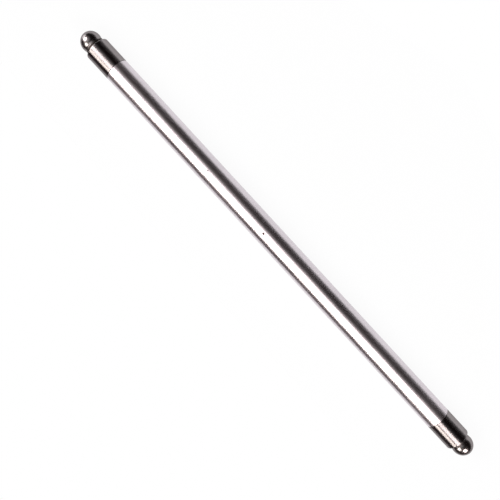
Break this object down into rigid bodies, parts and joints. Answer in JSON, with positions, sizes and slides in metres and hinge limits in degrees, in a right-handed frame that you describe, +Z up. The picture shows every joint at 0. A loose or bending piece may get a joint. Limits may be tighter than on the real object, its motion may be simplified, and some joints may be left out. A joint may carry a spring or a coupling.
{
  "type": "engine pushrod",
  "caption": "Straight engine pushrod: a satin aluminium tube with a polished steel ball end pressed into each end, carrying valve lift from tappet to rocker.",
  "frame": {"origin": "centre of the lower ball, on the rod's axis", "axes": "+X along the rod, from the lower ball to the upper ball; +Z up as the rod lies on a table"},
  "size_m": [0.2086, 0.0096, 0.0096],
  "materials": {
    "drawn_aluminium": "satin, drawn lengthwise",
    "polished_steel": "hardened, ground and polished"
  },
  "bodies": {
    "root": {"tube": "drawn_aluminium", "lower_ball_end": "polished_steel", "upper_ball_end": "polished_steel"}
  },
  "joints": []
}
